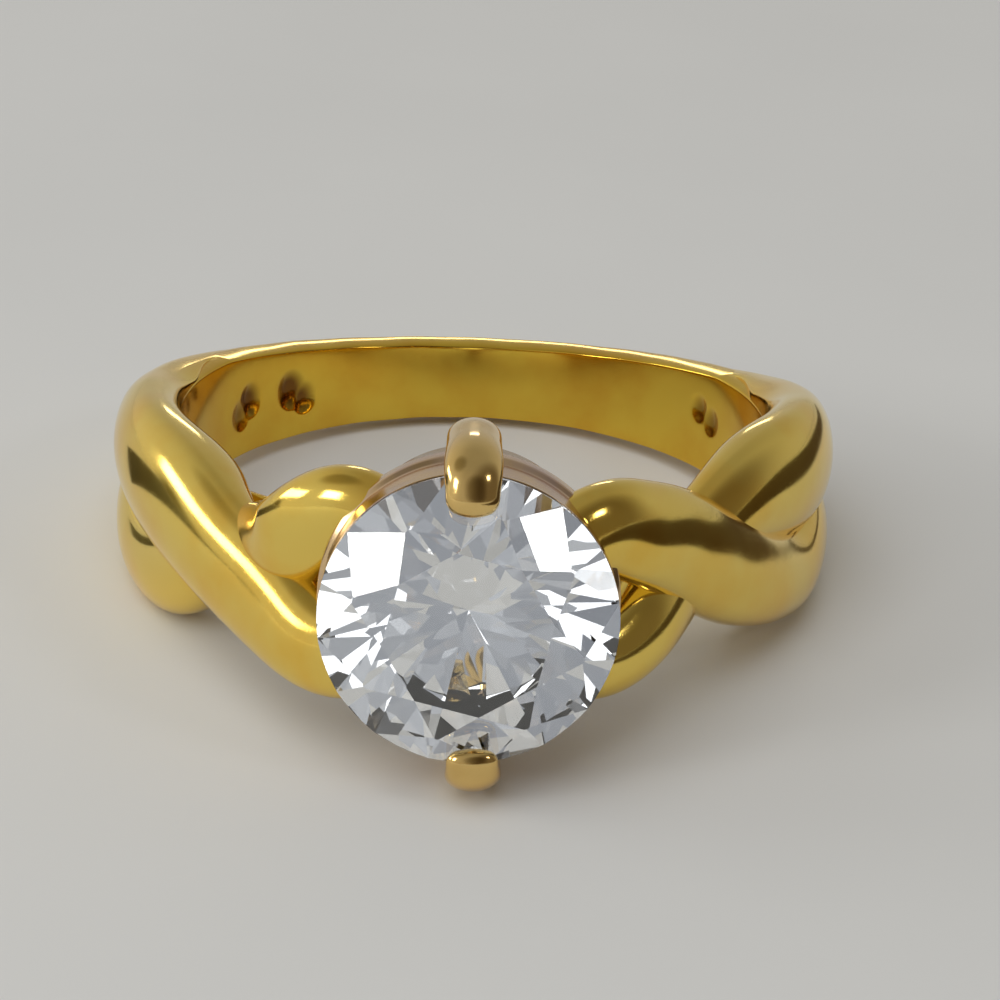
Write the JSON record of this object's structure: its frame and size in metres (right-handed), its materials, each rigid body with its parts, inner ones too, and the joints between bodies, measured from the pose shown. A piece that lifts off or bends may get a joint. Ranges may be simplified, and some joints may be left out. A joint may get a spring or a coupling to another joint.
{
  "type": "solitaire engagement ring",
  "caption": "Yellow gold solitaire ring: a plain rounded shank whose shoulders cross as twisted strands beside a round brilliant held in a collet by an upper and a lower claw",
  "frame": {"origin": "centre of the finger hole, on its axis, midway across the shank", "axes": "+Z along the finger hole, upper claw side up; the stone faces -Y; +X to the wearer's right when the stone is looked at"},
  "size_m": [0.0202, 0.0246, 0.0093],
  "materials": {
    "gold_shank": "polished yellow gold with fine wear",
    "gold_strand": "polished yellow gold with fine scratches",
    "gold_setting": "polished yellow gold, slightly duller in the recesses",
    "gold_claw": "polished paler yellow gold",
    "stone": "clear colourless cut stone"
  },
  "bodies": {
    "root": {"shank": "gold_shank", "left_over_strand": "gold_strand", "left_under_strand": "gold_strand", "right_over_strand": "gold_strand", "right_under_strand": "gold_strand", "collet": "gold_setting", "under_bezel": "gold_setting", "upper_claw": "gold_claw", "lower_claw": "gold_claw", "stone": "stone"}
  },
  "joints": []
}
